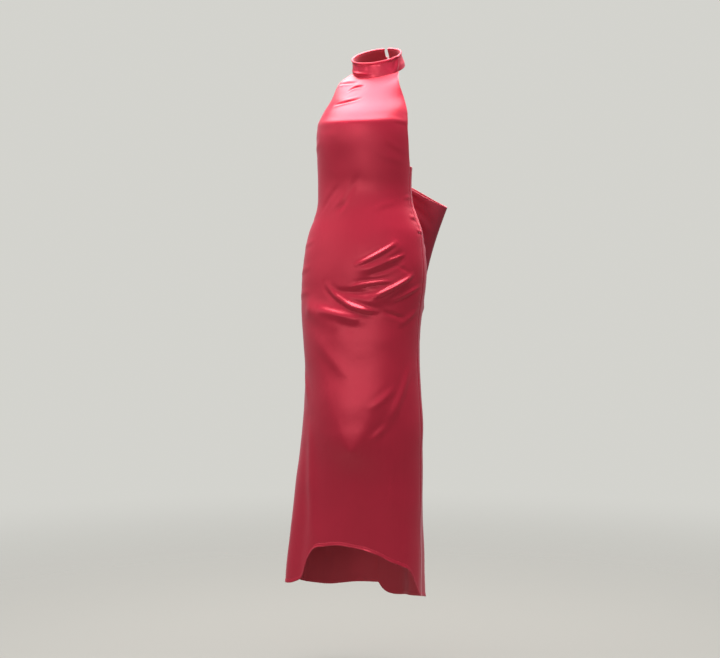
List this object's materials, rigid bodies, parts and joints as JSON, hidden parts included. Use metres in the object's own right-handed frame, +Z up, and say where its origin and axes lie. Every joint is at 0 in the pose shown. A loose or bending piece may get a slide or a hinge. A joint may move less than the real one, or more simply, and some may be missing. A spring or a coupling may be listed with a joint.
{
  "type": "halter-neck mermaid dress",
  "caption": "Long satin halter-neck evening dress with a stand-up neck band, open back, large bow at the back waist and a flared hem that is raised in front.",
  "frame": {"origin": "centre of the neck band, where the wearer's neck holds the dress up", "axes": "+Z up along the body, +X to the wearer's left, and -Y the way the front of the dress faces"},
  "size_m": [0.3674, 0.2862, 1.3875],
  "materials": {
    "satin": "crimson stretch satin with a soft sheen",
    "cord": "crimson satin rouleau cord"
  },
  "bodies": {
    "root": {"neck_band": "satin", "front_panel": "satin", "back_panel_right": "satin", "back_panel_left": "satin", "bow_knot": "satin", "bow_loop_right": "satin", "bow_loop_left": "satin", "nape_button": "satin", "nape_loop": "cord"}
  },
  "joints": []
}
